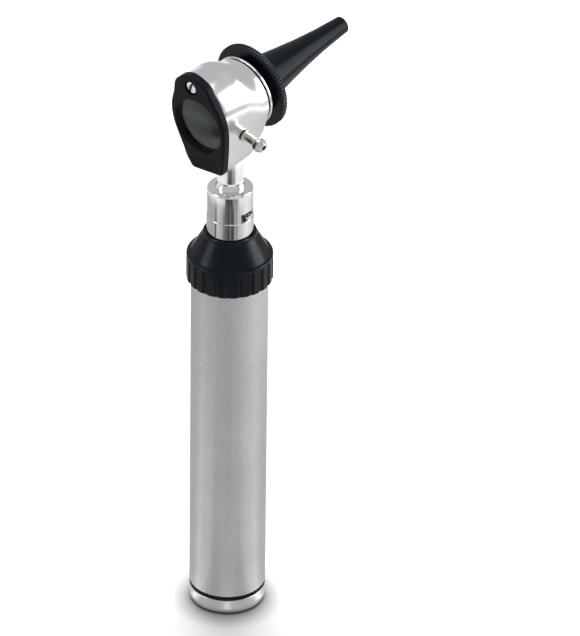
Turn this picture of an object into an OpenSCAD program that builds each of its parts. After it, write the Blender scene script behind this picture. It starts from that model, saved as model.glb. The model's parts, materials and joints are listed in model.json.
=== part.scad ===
// Hand-held otoscope: knurled battery handle, bayonet collar and chromed viewing head.
// Frame: origin on the flat underside of the tail cap, +Z up the handle,
// +Y the way the ear speculum points, +X the side that carries the air nipple.

/* [Handle] */
// Outer diameter of the battery tube
tube_d = 28.5; // [27.5:0.1:32]
// Wall thickness of the battery tube
tube_wall = 0.85; // [0.6:0.05:1.5]
// Height of the tail cap below its seal
cap_h = 6.3; // [5:0.1:10]
// Radius of the cap's lower edge
cap_edge = 1.8; // [0.5:0.1:3]
// Height of the rubber seal between cap and tube
seal_h = 1.75; // [1:0.05:3]
// Length of battery tube that shows between seal and ring
tube_show = 133.5; // [130:0.5:150]
// Diameter of one battery cell
cell_d = 26; // [25:0.1:26.2]
// Length of one battery cell without its stud
cell_l = 48; // [46:0.1:49]

/* [Brightness ring] */
// Largest diameter of the ribbed ring
ring_d = 31.8; // [31:0.1:36]
// Height of the ribbed band
ring_band_h = 11; // [8:0.1:16]
// Height of the smooth cone above the ribs
ring_cone_h = 9.1; // [5:0.1:12]
// Number of flutes round the band
ring_flutes = 22; // [12:1:30]
// Diameter of each flute cutter
flute_d = 2.6; // [1.5:0.1:4]

/* [Collar and socket] */
// Diameter of the handle collar
collar_d = 17.3; // [15:0.1:20]
// Height of the handle collar that shows
collar_h = 7.1; // [6:0.1:12]
// Diameter of the head socket
socket_d = 16.9; // [15:0.1:20]
// Height of the head socket
socket_h = 11.7; // [10.5:0.1:14]
// Diameter of the spigot the socket turns on
spigot_d = 13.5; // [12.5:0.1:14]
// Height of that spigot
spigot_h = 7; // [6:0.1:8]
// Turn from locked to the open mouth of the bayonet slot
bayonet_turn = 38; // [20:1:50]
// Heading of the slot's mouth from +X
slot_heading = -8; // [-40:1:40]

/* [Head] */
// Height of the point where the sight line crosses the handle axis
head_z = 217; // [205:1:225]
// Upward tilt of the sight line
head_tilt = 6; // [0:0.5:12]
// Diameter of the stem below the head
stem_d = 9.7; // [9:0.1:11]
// Diameter of the round front of the body
front_d = 27.2; // [25:0.1:30]
// Width of the back of the body
back_w = 24.6; // [23:0.1:25]
// Distance from the handle axis to the back face of the body
body_back = 16.4; // [15:0.1:18]
// Distance from the handle axis to the front face of the body
body_front = 6; // [5:0.1:8]
// Wall thickness of the body casting
body_wall = 1.9; // [1.5:0.1:2.4]

/* [Lens frame] */
// Angle the lens frame stands open at rest
lens_swing = 8; // [0:1:30]
// Height of the pivot screw above the sight line
pivot_z = 16; // [15.5:0.1:17]
// Thickness of the lens frame
frame_t = 3.3; // [2.8:0.1:4]
// Clear radius of the magnifier lens
lens_r = 10.3; // [9:0.1:10.5]

/* [Speculum] */
// Distance from the handle axis to the tip of the speculum
tip_y = 59.5; // [52:0.5:65]
// Outer radius of the tip
tip_r = 3.25; // [2.5:0.05:4]
// Outer radius at the foot of the cone
cone_r = 8.5; // [7.8:0.1:9]
// Diameter of the knurled grip ring
grip_d = 33; // [28:0.1:36]
// Distance from the handle axis to the back of the grip ring
grip_y = 9.7; // [9:0.1:11]
// Thickness of the grip ring
grip_t = 3.1; // [2.5:0.1:4]
// Number of teeth in the knurl
grip_teeth = 84; // [48:2:120]
// Turn from locked to the open mouth of the speculum slot
specula_turn = 35; // [20:1:45]

/* [Air nipple] */
// Downward lean of the nipple
nipple_lean = 10; // [0:1:20]
// Outer radius of the nipple stub
nipple_r = 1.7; // [1.5:0.05:2.2]
// Outer radius of the nipple's hose end
nipple_end_r = 2.7; // [2.3:0.05:3.2]

/* [Hidden] */
$fn = 64;
eps = 0.01;
gap = 0.02;
z_tube = cap_h + seal_h;
z_ring = z_tube + tube_show;
z_cone = z_ring + ring_band_h;
z_collar = z_cone + ring_cone_h;
z_socket = z_collar + collar_h;
z_stem = z_socket + socket_h;
tube_r = tube_d / 2;
bore_r = tube_r - tube_wall;
z_tube_top = z_ring + 6.5;
z_flange = z_tube_top - 2;
z_cells = 18.4;
stud_h = 1.4;
z_cells_top = z_cells + 2 * (cell_l + stud_h);
z_board = z_cells_top + 2.6;
pin_z = z_socket + 2.6;
z_lamp = z_socket + 2.65;
plate_in = -body_back - 0.2;
plate_out = plate_in - frame_t;
skirt_r = 9.6;
holder_r = 8.3;
flange_y = grip_y + grip_t;
pin_y = grip_y + 1.75;
wall_x = 10.9;
guide_low = 8.7;
guide_bend_r = 4;
guide_reach = guide_bend_r * tan(45 - head_tilt / 2);
guide_bend_y = guide_reach - guide_low * tan(head_tilt);
guide_bend_z = head_z - guide_low / cos(head_tilt) - guide_reach;

// ---------- helpers ----------

// ring about +Z from z0 to z1
module tube_z(ro, ri, z0, z1) {
  translate([0, 0, z0])
    difference() {
      cylinder(r = ro, h = z1 - z0);
      translate([0, 0, -eps])
        cylinder(r = ri, h = z1 - z0 + 2 * eps);
    }
}

// solid about +Z from z0 to z1
module rod_z(r, z0, z1) {
  translate([0, 0, z0])
    cylinder(r = r, h = z1 - z0);
}

// tapered solid about +Z
module cone_z(r0, r1, z0, z1) {
  translate([0, 0, z0])
    cylinder(r1 = r0, r2 = r1, h = z1 - z0);
}

// children drawn about +Z are laid along +Y of the head
module along_y() {
  rotate([-90, 0, 0])
    children();
}

// places the head's own frame: origin where the sight line meets the handle axis
module in_head() {
  translate([0, 0, head_z])
    rotate([head_tilt, 0, 0])
      children();
}

// inside in_head: goes back to the upright frame of the handle
module upright() {
  rotate([-head_tilt, 0, 0])
    translate([0, 0, -head_z])
      children();
}

// moves the lens frame group round its pivot screw
module swung() {
  translate([0, 0, pivot_z])
    rotate([0, -lens_swing, 0])
      translate([0, 0, -pivot_z])
        children();
}

// wire crescent that a twisted extrusion turns into a round wire coil
module wire_section(r, wire, half_angle, steps) {
  polygon(concat(
    [for (i = [0:steps])
      let (a = half_angle * (2 * i / steps - 1),
           w = wire / 2 * sqrt(max(0, 1 - pow(a / half_angle, 2))))
      [(r + w) * cos(a), (r + w) * sin(a)]],
    [for (i = [steps - 1:-1:1])
      let (a = half_angle * (2 * i / steps - 1),
           w = wire / 2 * sqrt(max(0, 1 - pow(a / half_angle, 2))))
      [(r - w) * cos(a), (r - w) * sin(a)]]
  ));
}

// open coil spring with ground ends, standing on z0
module coil_z(r, wire, z0, z1, turns) {
  translate([0, 0, z0])
    linear_extrude(height = z1 - z0, twist = -360 * turns, slices = ceil(12 * turns), $fn = 12)
      wire_section(r, wire, wire * 180 * turns / (z1 - z0), 5);
}

// ---------- handle ----------

module tail_cap() {
  color([0.70, 0.70, 0.71])
    difference() {
      union() {
        rotate_extrude()
          union() {
            square([tube_r - cap_edge, cap_h]);
            translate([0, cap_edge])
              square([tube_r, cap_h - cap_edge]);
            translate([tube_r - cap_edge, cap_edge])
              circle(r = cap_edge);
          }
        rod_z(bore_r - 0.05, cap_h, z_tube + 6);
      }
      rod_z(bore_r - 1.6, 4.2, z_tube + 7);
      rod_z(10.4, 2.9, 5);
    }
}

module tail_seal() {
  color([0.03, 0.03, 0.03])
    tube_z(tube_r - 0.1, bore_r, cap_h, z_tube);
}

module spring_cup() {
  color([0.80, 0.65, 0.35])
    difference() {
      union() {
        rod_z(10.3, 2.9, 5.2);
        rod_z(9, 5.2, 6.4);
      }
      rod_z(7.2, 3.6, 7);
    }
}

module tail_spring() {
  color([0.75, 0.75, 0.76])
    coil_z(6.2, 1.1, 3.6, z_cells, 4);
}

module cell(z0) {
  rod_z(cell_d / 2, z0, z0 + cell_l);
  rod_z(cell_d / 2 - 1.6, z0 + cell_l, z0 + cell_l + 0.5);
  rod_z(3.3, z0 + cell_l + 0.5, z0 + cell_l + stud_h);
}

module cell_lower() {
  color([0.16, 0.22, 0.36])
    cell(z_cells);
}

module cell_upper() {
  color([0.16, 0.22, 0.36])
    cell(z_cells + cell_l + stud_h);
}

module battery_tube() {
  color([0.68, 0.68, 0.69])
    tube_z(tube_r, bore_r, z_tube, z_tube_top);
}

module cell_contact() {
  color([0.80, 0.65, 0.35]) {
    rod_z(4.5, z_cells_top, z_board);
    rod_z(2, z_board, z_board + 2);
  }
}

module contact_board() {
  color([0.30, 0.20, 0.12])
    tube_z(bore_r - gap, 2 + gap, z_board, z_board + 2);
}

module feed_rod() {
  color([0.72, 0.43, 0.25])
    rod_z(1, z_board + 2, z_flange - 8);
}

module handle_collar() {
  color([0.83, 0.83, 0.84])
    difference() {
      union() {
        rod_z(bore_r - gap, z_flange - 8, z_flange);
        rod_z(8.2, z_flange, z_collar);
        rod_z(collar_d / 2, z_collar, z_socket);
        rod_z(spigot_d / 2, z_socket, z_socket + spigot_h);
      }
      rod_z(4.6, z_flange - 9, z_socket + spigot_h + 1);
      // circlip groove
      tube_z(9, 7.6, z_collar - 1.65, z_collar - 0.75);
      for (a = [0, 180])
        rotate([0, 0, a + slot_heading + bayonet_turn])
          translate([spigot_d / 2 - 2, 0, pin_z])
            rotate([0, 90, 0])
              cylinder(r = 0.9, h = 3);
    }
}

module plunger_seat() {
  color([0.80, 0.65, 0.35])
    rod_z(4.58, z_flange - 8, z_flange - 5);
}

module plunger_spring() {
  color([0.75, 0.75, 0.76])
    coil_z(2.9, 0.7, z_flange - 5, z_flange + 11, 6);
}

module plunger_bush() {
  color([0.86, 0.84, 0.78])
    difference() {
      rod_z(4.58, z_flange - 5, z_collar + 5);
      rod_z(3.7, z_flange - 6, z_flange + 14.1);
      rod_z(2.15, z_flange, z_socket);
    }
}

module contact_plunger() {
  color([0.80, 0.65, 0.35])
    difference() {
      union() {
        rod_z(3.6, z_flange + 11, z_flange + 12.5);
        rod_z(2.1, z_flange + 12.5, z_lamp - 0.55);
        cone_z(2.1, 1.5, z_lamp - 0.55, z_lamp - 0.05);
      }
      rod_z(1, z_flange + 10, z_flange + 20);
    }
}

module dimmer_track() {
  color([0.33, 0.24, 0.16])
    tube_z(bore_r - 0.4, 8.6, z_flange, z_flange + 1.3);
}

module dimmer_wiper() {
  color([0.80, 0.65, 0.35])
    rotate([0, 0, 200]) {
      translate([9.6, -1.6, z_tube_top + 1.1])
        cube([5, 3.2, 0.7]);
      translate([11.2, 0, z_flange + 1.35])
        cylinder(r1 = 0.7, r2 = 1.2, h = 1.8);
    }
}

module brightness_ring() {
  color([0.045, 0.047, 0.05])
    difference() {
      union() {
        rotate_extrude()
          union() {
            square([ring_d / 2 - 0.7, ring_band_h]);
            translate([0, 0.7])
              square([ring_d / 2, ring_band_h - 1.4]);
            translate([ring_d / 2 - 0.7, 0.7])
              circle(r = 0.7);
            translate([ring_d / 2 - 0.7, ring_band_h - 0.7])
              circle(r = 0.7);
          }
        cone_z(ring_d / 2 - 1.2, 9.9, ring_band_h - 0.3, ring_band_h + ring_cone_h - 0.6);
        rod_z(9.9, ring_band_h, ring_band_h + ring_cone_h);
      }
      rod_z(tube_r + 0.06, -1, 6.6);
      rod_z(13.9, 6.5, 9);
      cone_z(13.9, 10, 9 - eps, 13);
      rod_z(8.72, 1, ring_band_h + ring_cone_h + 1);
      rod_z(9.3, ring_band_h + ring_cone_h - 1.7, ring_band_h + ring_cone_h + 1);
      for (i = [0:ring_flutes - 1])
        rotate([0, 0, i * 360 / ring_flutes])
          translate([ring_d / 2 + 0.55, 0, -1])
            cylinder(d = flute_d, h = ring_band_h - 0.3);
      rotate([0, 0, 200])
        translate([9, -1.62, 7.58])
          cube([5.62, 3.24, 0.74]);
    }
}

module ring_clip() {
  color([0.60, 0.60, 0.62])
    difference() {
      tube_z(9.15, 7.7, z_collar - 1.6, z_collar - 0.8);
      translate([-10, -1.2, z_collar - 3])
        cube([10, 2.4, 4]);
    }
}

module bayonet_pins() {
  color([0.75, 0.75, 0.76])
    for (a = [0, 180])
      rotate([0, 0, a + slot_heading + bayonet_turn])
        translate([spigot_d / 2 - 1.9, 0, pin_z])
          rotate([0, 90, 0])
            cylinder(r = 0.88, h = 3.2);
}

// ---------- head: socket, stem and lamp ----------

module socket_slot() {
  translate([spigot_d / 2 - 1, -1.5, z_socket - 1])
    cube([4, 3, pin_z - z_socket + 2]);
  translate([0, 0, pin_z - 1])
    rotate_extrude(angle = bayonet_turn + 9)
      translate([spigot_d / 2 - 1.2, 0])
        square([4.4, 2]);
}

module head_socket() {
  color([0.83, 0.83, 0.84])
    difference() {
      rotate_extrude()
        union() {
          translate([0, z_socket + gap])
            square([socket_d / 2 - 0.7, socket_h - gap]);
          translate([0, z_socket + gap])
            square([socket_d / 2, socket_h - 0.7 - gap]);
          translate([socket_d / 2 - 0.7, z_stem - 0.7])
            circle(r = 0.7);
        }
      rod_z(spigot_d / 2 + 0.06, z_socket - 1, z_socket + spigot_h + 0.8);
      rod_z(4.42, z_socket, z_stem + 1);
      for (a = [0, 180])
        rotate([0, 0, a + slot_heading])
          socket_slot();
    }
}

module head_stem() {
  color([0.83, 0.83, 0.84])
    difference() {
      union() {
        rod_z(4.4, z_stem - 2.6, z_stem);
        rod_z(stem_d / 2 + 0.75, z_stem, z_stem + 0.5);
        cone_z(stem_d / 2 + 0.75, stem_d / 2, z_stem + 0.5, z_stem + 2.2);
        rod_z(stem_d / 2, z_stem + 2, head_z - 19);
      }
      rod_z(3.4, z_stem - 3, head_z - 24);
      rod_z(2, z_stem, head_z - 18);
    }
}

module lamp_base() {
  color([0.70, 0.68, 0.60]) {
    rod_z(3.3, z_lamp + 1.2, z_stem + 1);
    rod_z(4.3, z_socket + spigot_h + 1, z_stem - 2.7);
  }
}

module lamp_glass() {
  color([0.90, 0.92, 0.95]) {
    rod_z(2.9, z_stem + 1, z_stem + 6);
    intersection() {
      translate([0, 0, z_stem + 6])
        sphere(r = 2.9);
      rod_z(3, z_stem + 6, z_stem + 9.5);
    }
  }
}

module lamp_contact() {
  color([0.62, 0.60, 0.58]) {
    rod_z(2.6, z_lamp + 0.7, z_lamp + 1.2);
    cone_z(1, 1.6, z_lamp, z_lamp + 0.7);
  }
}

// ---------- head: body ----------

// outer or inner form of the casting, drawn in by the distance t
module body_form(t, y0, y1) {
  hull() {
    along_y() {
      rod_z(front_d / 2 - t, y1 - 2, y1);
      translate([0, -5.6, 0])
        rod_z(back_w / 2 + 0.3 - t, y0, y0 + 1.2);
      translate([0, -11.7, 0])
        rod_z(8.2 - t, y0, y0 + 1.2);
      translate([0, -4.6, 0])
        rod_z(13.3 - t, -6.5, -5.5);
      for (s = [-1, 1]) {
        translate([s * 5, 17.5, 0])
          rod_z(4.6 - t, y0, 1);
        translate([s * 5.2, 11, 0])
          rod_z(5 - t, y1 - 3, y1);
      }
    }
  }
}

module body_shell() {
  color([0.83, 0.83, 0.84])
    in_head()
      difference() {
        union() {
          difference() {
            body_form(0, -body_back, body_front);
            body_form(body_wall, -body_back + body_wall, body_front - body_wall);
          }
          intersection() {
            body_form(0.4, -body_back + 0.5, body_front - 0.5);
            union() {
              upright()
                rod_z(7, head_z - 24, head_z - 17.5);
              along_y()
                translate([0, -pivot_z, 0])
                  rod_z(4.4, -body_back, -body_back + 7);
              translate([wall_x, -5.9, -7.4])
                rotate([0, 90 + nipple_lean, 0])
                  translate([0, 0, -4.5])
                    cylinder(r = 3.4, h = 6);
            }
          }
        }
        // sight channel through the back wall, bore for the nose in the front wall
        along_y() {
          rod_z(9.2, -body_back - 1, 0);
          rod_z(10.97, 0, body_front + 1);
          tube_z(11.3, 10.1, -body_back - 1, -body_back + 0.8);
          translate([0, -pivot_z, 0])
            rod_z(2.62, -body_back - 1, -body_back + 6);
        }
        upright() {
          rod_z(stem_d / 2 + gap, head_z - 30, head_z - 19);
          rod_z(2.1, head_z - 20, head_z - 10);
        }
        translate([wall_x, -5.9, -7.4])
          rotate([0, 90 + nipple_lean, 0]) {
            translate([0, 0, -6])
              cylinder(r = nipple_r + gap, h = 12);
            // spot face under the seal
            translate([0, 0, 0.45])
              cylinder(r = 2.5, h = 6);
          }
      }
}

module front_ring() {
  color([0.83, 0.83, 0.84])
    in_head()
      along_y()
        tube_z(front_d / 2, 11.52, body_front + 0.5, body_front + 1.4);
}

module nose_holder() {
  color([0.05, 0.05, 0.055])
    in_head()
      along_y()
        difference() {
          union() {
            rod_z(10.95, 2.5, body_front);
            rod_z(12.8, body_front, body_front + 0.5);
            rod_z(11.5, body_front + 0.5, body_front + 1.4);
            rod_z(10.6, body_front + 1.4, grip_y - 0.25);
            rod_z(holder_r, grip_y - 0.3, 14.5);
          }
          rod_z(6.6, 2, 15);
          rod_z(10.05, 2, 5.9);
          for (a = [0, 180])
            rotate([0, 0, a + 90])
              translate([holder_r - 1.4, 0, pin_y])
                rotate([0, 90, 0])
                  cylinder(r = 0.8, h = 3);
        }
}

module nose_shell() {
  color([0.05, 0.05, 0.055])
    in_head()
      along_y()
        difference() {
          union() {
            rod_z(6.58, 6, 14.5);
            cone_z(6.58, 3.7, 14.5, 34);
          }
          rod_z(5.8, 5, 14.5);
          cone_z(5.8, 2.9, 14.5 - eps, 34.1);
        }
}

module fibre_sleeve() {
  color([0.88, 0.90, 0.86])
    in_head()
      along_y()
        difference() {
          union() {
            rod_z(10, 4.4, 5.9);
            rod_z(5.78, 5.9, 14.5);
            cone_z(5.78, 2.94, 14.5, 33.6);
          }
          rod_z(5.3, 4, 14.5);
          cone_z(5.3, 2.42, 14.5 - eps, 33.7);
        }
}

module light_guide() {
  color([0.88, 0.90, 0.86])
    in_head() {
      // run under the sight line
      along_y()
        translate([0, guide_low, 0])
          rod_z(1.3, guide_bend_y, 4.4);
      upright() {
        translate([0, guide_bend_r, guide_bend_z])
          rotate([90, 0, 90])
            rotate([0, 0, 90 + head_tilt])
              rotate_extrude(angle = 90 - head_tilt)
                translate([guide_bend_r, 0])
                  circle(r = 1.3);
        rod_z(1.3, head_z - 24.5, guide_bend_z);
      }
    }
}

module specula_pins() {
  color([0.75, 0.75, 0.76])
    in_head()
      along_y()
        for (a = [0, 180])
          rotate([0, 0, a + 90])
            translate([holder_r - 1.3, 0, pin_y])
              rotate([0, 90, 0])
                cylinder(r = 0.78, h = 2.5);
}

// ---------- speculum ----------

module speculum_slot() {
  rotate([0, 0, 90]) {
    rotate([0, 0, -specula_turn])
      translate([holder_r - 1, -1, grip_y - 1])
        cube([3, 2, pin_y - grip_y + 1]);
    rotate([0, 0, -specula_turn - 5.5])
      translate([0, 0, pin_y - 0.9])
        rotate_extrude(angle = specula_turn + 11)
          translate([holder_r - 1, 0])
            square([3, 1.8]);
  }
}

module speculum() {
  color([0.04, 0.042, 0.047])
    in_head()
      along_y()
        difference() {
          union() {
            rod_z(skirt_r, grip_y + 0.1, flange_y);
            rotate_extrude()
              union() {
                translate([0, flange_y])
                  square([9.6, 3.6]);
                translate([0, flange_y + 1.3])
                  square([11, 1]);
                translate([9.7, flange_y + 1.3])
                  circle(r = 1.3);
                translate([9.7, flange_y + 2.3])
                  circle(r = 1.3);
              }
            cone_z(9.3, cone_r, flange_y + 3.6, flange_y + 4.4);
            cone_z(cone_r, 5.36, flange_y + 4.4, tip_y - 22.8);
            cone_z(5.36, 4.15, tip_y - 22.8, tip_y - 12.3);
            cone_z(4.15, tip_r + 0.1, tip_y - 12.3, tip_y - 1);
            rotate_extrude()
              union() {
                translate([0, tip_y - 1])
                  square([tip_r - 0.6, 1]);
                translate([0, tip_y - 1])
                  square([tip_r + 0.05, 0.35]);
                translate([tip_r - 0.6, tip_y - 0.65])
                  circle(r = 0.65);
              }
          }
          rod_z(holder_r + 0.06, grip_y - 1, 15);
          cone_z(holder_r + 0.06, 7.1, 15 - eps, flange_y + 4.4);
          cone_z(7.1, 4.3, flange_y + 4.4 - eps, tip_y - 22.8);
          cone_z(4.3, 3.1, tip_y - 22.8 - eps, tip_y - 12.3);
          cone_z(3.1, 2.2, tip_y - 12.3 - eps, tip_y + eps);
          for (a = [0, 180])
            rotate([0, 0, a])
              speculum_slot();
        }
}

module grip_ring() {
  color([0.045, 0.047, 0.05])
    in_head()
      along_y()
        difference() {
          union() {
            cone_z(grip_d / 2 - 1.1, grip_d / 2 - 0.5, grip_y, grip_y + 0.5);
            translate([0, 0, grip_y + 0.5])
              linear_extrude(height = grip_t - 1)
                polygon([for (i = [0:2 * grip_teeth - 1])
                  let (r = grip_d / 2 - (i % 2) * 0.4, a = i * 180 / grip_teeth)
                  [r * cos(a), r * sin(a)]]);
            cone_z(grip_d / 2 - 0.5, grip_d / 2 - 1.2, flange_y - 0.5, flange_y);
          }
          rod_z(skirt_r + gap, grip_y - 1, flange_y + 1);
          rod_z(10.8, grip_y - 1, grip_y + 0.1);
        }
}

// ---------- lens frame ----------

module rear_gasket() {
  color([0.03, 0.03, 0.03])
    in_head()
      along_y()
        tube_z(11.28, 10.12, -body_back - 0.15, -body_back + 0.8);
}

module pivot_bush() {
  color([0.80, 0.65, 0.35])
    in_head()
      along_y()
        translate([0, -pivot_z, 0])
          tube_z(2.6, 1.5, -body_back, -body_back + 6);
}

module pivot_screw() {
  color([0.85, 0.85, 0.86])
    in_head()
      along_y()
        translate([0, -pivot_z, 0])
          difference() {
            union() {
              rod_z(2.3, plate_out + 0.3, plate_out + 1.4);
              rod_z(1.48, plate_out + 1.4, -body_back + 5.5);
            }
            rotate([0, 0, -69])
              translate([-3, -0.45, plate_out - 0.5])
                cube([6, 0.9, 1.4]);
          }
}

module spring_washer() {
  color([0.60, 0.60, 0.62])
    in_head()
      along_y()
        translate([0, -pivot_z, 0])
          tube_z(2.2, 1.55, plate_out + 1.4, plate_out + 1.8);
}

// half outline of the shield-shaped lens frame from crown to tab: distance out, height
frame_half = [
  [3.8, 20.3], [7.9, 17.6], [8.8, 14.6], [9.8, 12], [11.1, 9.5], [12.1, 7], [12.7, 4],
  [12.8, 1], [12.5, -2], [11.8, -5], [10.95, -8.3], [10, -11.6], [9.15, -14.2],
  [8.35, -16.7], [8, -18.3], [7.2, -19.3]
];

// outline in the closed position, z up
module plate_outline() {
  n = len(frame_half);
  polygon(concat(
    [[0, 21.2]],
    [for (i = [0:n - 1]) frame_half[i]],
    [for (i = [n - 1:-1:0]) [-frame_half[i][0], frame_half[i][1]]]
  ));
}

module lens_frame() {
  color([0.045, 0.047, 0.05])
    in_head()
      swung()
        difference() {
          translate([0, plate_in, 0])
            rotate([90, 0, 0])
              linear_extrude(height = frame_t)
                plate_outline();
          along_y() {
            // eye side opening, lens seat and pivot recess
            cone_z(lens_r + 0.7, lens_r, plate_out - eps, plate_in - 1.6);
            rod_z(lens_r, plate_out, plate_in + 1);
            rod_z(11.3, plate_in - 1.6, plate_in + 1);
            translate([0, -pivot_z, 0]) {
              rod_z(2.85, plate_out - 1, plate_out + 1.8);
              rod_z(1.54, plate_out - 1, plate_in + 1);
            }
          }
          // finger ridges on the tab
          for (i = [0:2])
            translate([-6, plate_out, pivot_z - 30.4 - 1.5 * i])
              rotate([0, 90, 0])
                cylinder(r = 0.3, h = 12);
        }
}

// height of a shallow dome of radius lens_r at step i of 8
function dome(i, sag) = sag * (1 - pow(i / 8, 2));

module lens() {
  color([0.30, 0.31, 0.30])
    in_head()
      swung()
        along_y()
          rotate_extrude()
            polygon(concat(
              [for (i = [0:8]) [(lens_r - 0.1) * i / 8, plate_in - 1.58 - dome(i, 0.7)]],
              [[11.25, plate_in - 1.58], [11.25, plate_in - 0.74]],
              [for (i = [8:-1:0]) [(lens_r - 0.1) * i / 8, plate_in - 0.74 + dome(i, 0.5)]]
            ));
}

module lens_retainer() {
  color([0.03, 0.03, 0.03])
    in_head()
      swung()
        along_y()
          tube_z(11.27, 10.4, plate_in - 0.7, plate_in - 0.05);
}

// ---------- air nipple ----------

module at_nipple() {
  in_head()
    translate([wall_x, -5.9, -7.4])
      rotate([0, 90 + nipple_lean, 0])
        children();
}

module air_nipple() {
  color([0.80, 0.78, 0.74])
    at_nipple()
      difference() {
        union() {
          rod_z(nipple_r, -4.4, 6.8);
          rod_z(2.4, 0.9, 1.5);
          cone_z(nipple_r, nipple_end_r, 6, 6.8);
          rod_z(nipple_end_r, 6.8, 8.4);
          cone_z(nipple_end_r, 1.7, 8.4, 10.2);
        }
        rod_z(1, -5, 11);
      }
}

module nipple_seal() {
  color([0.03, 0.03, 0.03])
    at_nipple()
      tube_z(2.3, nipple_r + gap, 0.45, 0.9);
}

tail_cap();
tail_seal();
spring_cup();
tail_spring();
cell_lower();
cell_upper();
battery_tube();
cell_contact();
contact_board();
feed_rod();
handle_collar();
plunger_seat();
plunger_spring();
contact_plunger();
plunger_bush();
dimmer_track();
dimmer_wiper();
translate([0, 0, z_ring]) brightness_ring();
ring_clip();
bayonet_pins();
head_socket();
head_stem();
lamp_base();
lamp_glass();
lamp_contact();
body_shell();
front_ring();
nose_holder();
nose_shell();
fibre_sleeve();
light_guide();
specula_pins();
speculum();
grip_ring();
rear_gasket();
pivot_bush();
pivot_screw();
spring_washer();
lens_frame();
lens();
lens_retainer();
air_nipple();
nipple_seal();
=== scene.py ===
"""Otoscope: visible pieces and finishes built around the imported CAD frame.

Lengths are in mm until a mesh is made. The stage, the lamps and the camera are in metres.
"""

import json
import math

import bmesh
import bpy
from mathutils import Matrix, Vector


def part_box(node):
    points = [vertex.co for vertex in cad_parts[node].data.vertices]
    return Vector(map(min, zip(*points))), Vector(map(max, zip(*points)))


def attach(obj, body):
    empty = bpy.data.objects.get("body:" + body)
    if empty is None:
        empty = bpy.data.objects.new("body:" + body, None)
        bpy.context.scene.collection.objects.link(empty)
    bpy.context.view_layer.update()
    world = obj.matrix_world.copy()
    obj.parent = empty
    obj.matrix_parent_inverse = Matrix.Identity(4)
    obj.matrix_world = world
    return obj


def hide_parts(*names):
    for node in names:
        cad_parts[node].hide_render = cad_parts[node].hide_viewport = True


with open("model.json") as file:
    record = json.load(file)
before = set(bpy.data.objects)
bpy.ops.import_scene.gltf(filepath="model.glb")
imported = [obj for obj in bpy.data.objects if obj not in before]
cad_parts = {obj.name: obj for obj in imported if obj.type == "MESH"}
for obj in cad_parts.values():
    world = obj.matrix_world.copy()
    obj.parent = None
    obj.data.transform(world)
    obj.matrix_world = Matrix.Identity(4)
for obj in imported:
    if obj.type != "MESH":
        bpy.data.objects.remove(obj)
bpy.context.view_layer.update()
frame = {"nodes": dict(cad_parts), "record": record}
CAD = frame["nodes"]
MM = 0.001


def level(node, end):
    """Lowest (0) or highest (1) height of a CAD node, in mm."""
    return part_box(node)[end].z / MM


# ---------- driving sizes, the same as the CAD's ----------

HEAD_Z = 217.0
HEAD_TILT = 6.0
LENS_SWING = 8.0
PIVOT_Z = 16.0
TUBE_R = 14.25
BORE_R = 13.4
Z_TUBE = level("tail_seal", 1)
Z_SEAL = level("tail_seal", 0)
Z_RING = level("brightness_ring", 0)
Z_COLLAR = level("brightness_ring", 1)
Z_SOCKET = level("head_socket", 0) - 0.02
Z_STEM = level("head_socket", 1)
PIN_Z = Z_SOCKET + 2.6
SLOT_HEADING = -8.0
PLATE_IN = -16.6
PLATE_OUT = -19.9
BODY_BACK = -16.4
BODY_FRONT = 6.0
BODY_WALL = 1.9
BODY_FILLET = 0.9
WALL_X, NIPPLE_Y, NIPPLE_Z = 10.9, -5.9, -7.4
NIPPLE_LEAN = 10.0

HANDLE = Matrix.Identity(4)
HEAD = Matrix.Translation((0, 0, HEAD_Z)) @ Matrix.Rotation(math.radians(HEAD_TILT), 4, "X")
TO_SIGHT = Matrix.Rotation(math.radians(-90), 4, "X")
SIGHT = HEAD @ TO_SIGHT
SWUNG = (
    HEAD
    @ Matrix.Translation((0, 0, PIVOT_Z))
    @ Matrix.Rotation(math.radians(-LENS_SWING), 4, "Y")
    @ Matrix.Translation((0, 0, -PIVOT_Z))
)
SWUNG_SIGHT = SWUNG @ TO_SIGHT
PIVOT = SIGHT @ Matrix.Translation((0, -PIVOT_Z, 0))
NIPPLE = (
    HEAD
    @ Matrix.Translation((WALL_X, NIPPLE_Y, NIPPLE_Z))
    @ Matrix.Rotation(math.radians(90 + NIPPLE_LEAN), 4, "Y")
)


# ---------- mesh helpers ----------


def rounded(corners, steps=5):
    """A closed profile of (radius, height, fillet) corners, each corner with a fillet turned into an arc."""
    out, n = [], len(corners)
    for i, (r, z, f) in enumerate(corners):
        p = Vector((r, z))
        a = Vector(corners[i - 1][:2]) - p
        b = Vector(corners[(i + 1) % n][:2]) - p
        if f <= 0 or a.length < 1e-6 or b.length < 1e-6:
            out.append((r, z))
            continue
        half = a.angle(b) / 2
        if half > math.radians(89.5):
            out.append((r, z))
            continue
        reach = min(f / math.tan(half), 0.48 * a.length, 0.48 * b.length)
        f = reach * math.tan(half)
        a.normalize()
        b.normalize()
        centre = p + (a + b).normalized() * (f / math.sin(half))
        start, end = p + a * reach - centre, p + b * reach - centre
        turn = start.angle_signed(end)
        for k in range(steps + 1):
            c, s = math.cos(-turn * k / steps), math.sin(-turn * k / steps)
            out.append((centre.x + start.x * c - start.y * s, centre.y + start.x * s + start.y * c))
    return out


def even(count, offset=0.0):
    return [offset + 2 * math.pi * k / count for k in range(count)]


def add_object(name, data):
    obj = bpy.data.objects.new(name, data)
    bpy.context.scene.collection.objects.link(obj)
    return obj


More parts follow.
